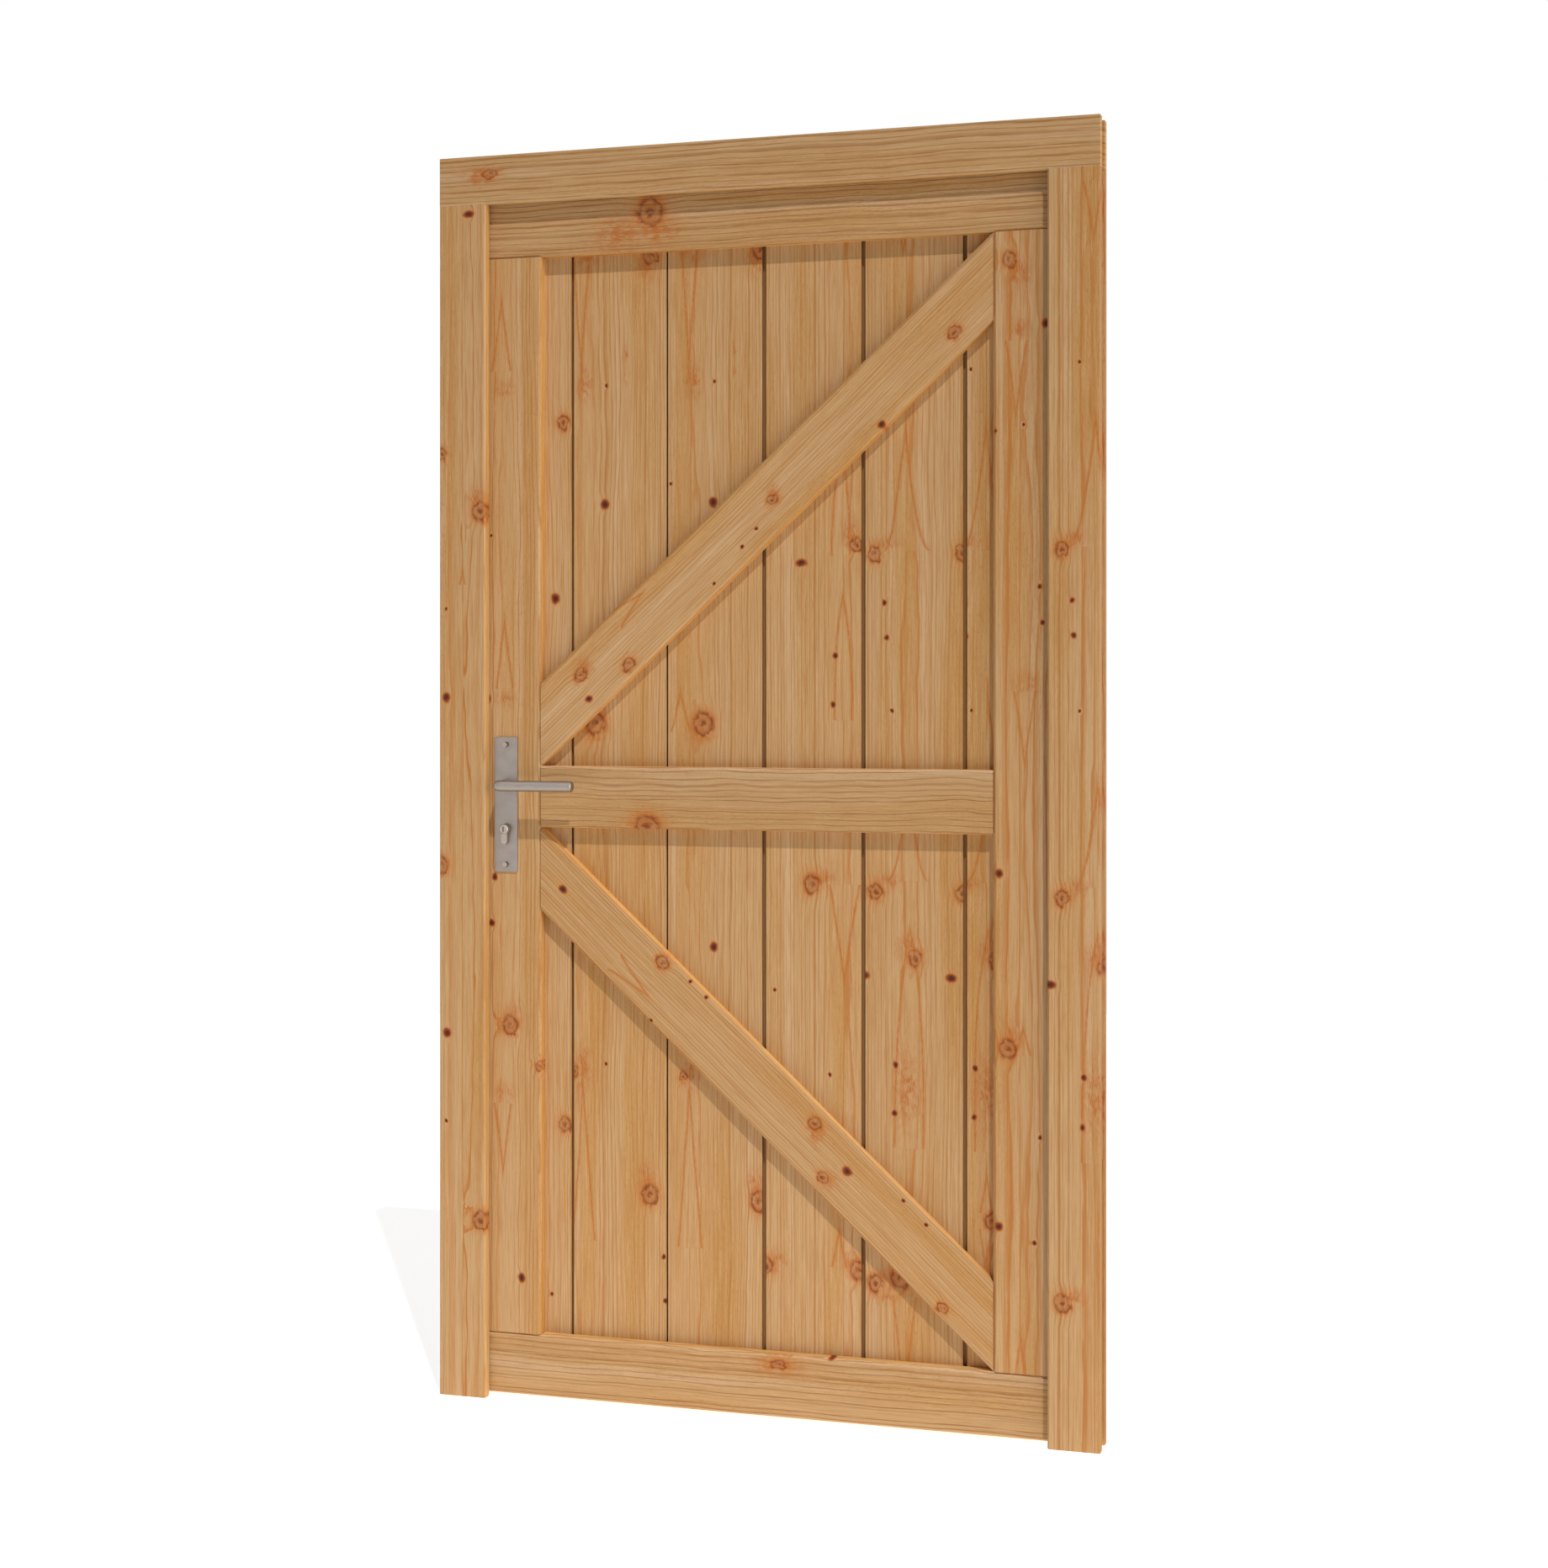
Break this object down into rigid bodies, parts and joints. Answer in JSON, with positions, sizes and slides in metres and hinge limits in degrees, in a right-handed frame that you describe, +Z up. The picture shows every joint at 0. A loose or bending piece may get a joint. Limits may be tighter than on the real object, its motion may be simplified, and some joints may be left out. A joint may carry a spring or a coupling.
{
  "type": "framed, ledged and braced door in its timber frame",
  "caption": "Timber door of vertical tongue-and-groove boards on a framed, ledged and braced leaf, hung on butt hinges in a grooved timber frame, with lever handles on long plates.",
  "frame": {"origin": "middle of the width of the wall groove's floor in the hinge jamb, at floor level", "axes": "+X out of the hinge jamb towards the wall, +Y from the inside face to the outside face, +Z up"},
  "size_m": [1.09, 0.1464, 2.03],
  "materials": {
    "frame_timber": "planed softwood with a thin clear coat",
    "leaf_timber": "planed softwood with a thin clear coat",
    "board_timber": "planed knotty softwood with a thin clear coat",
    "satin_steel": "satin stainless steel",
    "nickel_cylinder": "satin nickel plate"
  },
  "bodies": {
    "door_frame": {"head": "frame_timber", "lock_jamb": "frame_timber", "hinge_jamb": "frame_timber", "strike_plate": "satin_steel", "bottom_hinge_frame_leaf": "satin_steel", "middle_hinge_frame_leaf": "satin_steel", "top_hinge_frame_leaf": "satin_steel", "bottom_hinge_pin": "satin_steel", "middle_hinge_pin": "satin_steel", "top_hinge_pin": "satin_steel"},
    "door_leaf": {"lock_stile": "leaf_timber", "hinge_stile": "leaf_timber", "top_rail": "leaf_timber", "middle_rail": "leaf_timber", "bottom_rail": "leaf_timber", "upper_brace": "leaf_timber", "lower_brace": "leaf_timber", "board_1": "board_timber", "board_2": "board_timber", "board_3": "board_timber", "board_4": "board_timber", "board_5": "board_timber", "board_6": "board_timber", "lock_faceplate": "satin_steel", "latch_bolt": "satin_steel", "dead_bolt": "satin_steel", "inner_plate": "satin_steel", "outer_plate": "satin_steel", "lock_cylinder": "nickel_cylinder", "outer_plug": "nickel_cylinder", "bottom_hinge_door_leaf": "satin_steel", "middle_hinge_door_leaf": "satin_steel", "top_hinge_door_leaf": "satin_steel"},
    "handle": {"inner_lever": "satin_steel", "outer_lever": "satin_steel", "spindle": "satin_steel"},
    "cylinder_plug": {"inner_plug": "nickel_cylinder"}
  },
  "joints": [
    {"name": "leaf_swing", "type": "hinge", "parent": "door_frame", "child": "door_leaf", "pos_m": [-0.0545, 0.036, 0], "axis": [0, 0, -1], "range_deg": [0, 110]},
    {"name": "lever_turn", "type": "hinge", "parent": "door_leaf", "child": "handle", "pos_m": [-0.9683, 0, 1.002], "axis": [0, 1, 0], "range_deg": [0, 45], "stiffness_Nm_per_rad": 1.5, "springref_deg": -40.11},
    {"name": "plug_turn", "type": "hinge", "parent": "door_leaf", "child": "cylinder_plug", "pos_m": [-0.9683, -0.02, 0.93], "axis": [0, 1, 0], "continuous": true}
  ]
}
